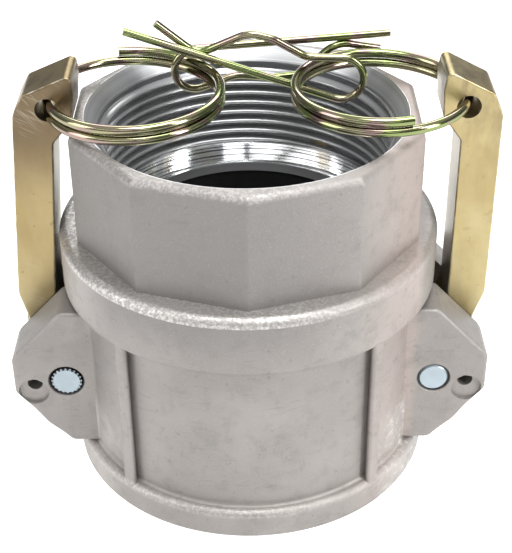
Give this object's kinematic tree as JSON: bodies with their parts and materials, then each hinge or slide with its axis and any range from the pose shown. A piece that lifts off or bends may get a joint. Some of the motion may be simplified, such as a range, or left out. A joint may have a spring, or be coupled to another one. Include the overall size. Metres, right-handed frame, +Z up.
{
  "type": "cam and groove coupler",
  "caption": "Two-inch cam and groove coupler: grooved cup with gasket, swinging cam arms, pull rings and safety clips, ten-sided hub with a female pipe thread",
  "frame": {"origin": "the centre of the cup mouth, on the plane the coupler stands on", "axes": "+Z runs up the bore towards the threaded end, X runs through the two cam arms, and -Y is the side that faces the camera"},
  "size_m": [0.0997, 0.0784, 0.0937],
  "materials": {
    "cast_body": "matte as cast, machined inside",
    "gasket_rubber": "matte",
    "pin_zinc": "bright zinc plated",
    "arm_brass": "satin",
    "wire_zinc": "yellow zinc plated wire"
  },
  "bodies": {
    "body": {"coupler_body": "cast_body", "cup_gasket": "gasket_rubber", "pivot_pin_left": "pin_zinc", "pivot_pin_right": "pin_zinc"},
    "arm_left": {"cam_arm_left": "arm_brass"},
    "arm_right": {"cam_arm_right": "arm_brass"},
    "ring_left": {"pull_ring_left": "wire_zinc"},
    "ring_right": {"pull_ring_right": "wire_zinc"},
    "clip_left": {"safety_clip_left": "wire_zinc"},
    "clip_right": {"safety_clip_right": "wire_zinc"}
  },
  "joints": [
    {"name": "arm_left_pivot", "type": "hinge", "parent": "body", "child": "arm_left", "pos_m": [-0.0387, 0, 0.0237], "axis": [0, -1, 0], "range_deg": [0, 119]},
    {"name": "arm_right_pivot", "type": "hinge", "parent": "body", "child": "arm_right", "pos_m": [0.0387, 0, 0.0237], "axis": [0, 1, 0], "range_deg": [0, 115]},
    {"name": "ring_left_swing", "type": "hinge", "parent": "arm_left", "child": "ring_left", "pos_m": [-0.03866, 0, 0.08157], "axis": [0, -1, 0], "range_deg": [0, 180]},
    {"name": "ring_right_swing", "type": "hinge", "parent": "arm_right", "child": "ring_right", "pos_m": [0.0431, 0, 0.0814], "axis": [0, 1, 0], "range_deg": [0, 180]},
    {"name": "clip_left_swing", "type": "hinge", "parent": "ring_left", "child": "clip_left", "pos_m": [-0.0104, 0.0124, 0.0824], "axis": [0.2055, -0.9787, 0], "range_deg": [0, 90]},
    {"name": "clip_right_swing", "type": "hinge", "parent": "ring_right", "child": "clip_right", "pos_m": [0.0116, 0.0084, 0.0824], "axis": [0, 1, 0], "range_deg": [0, 90]}
  ]
}
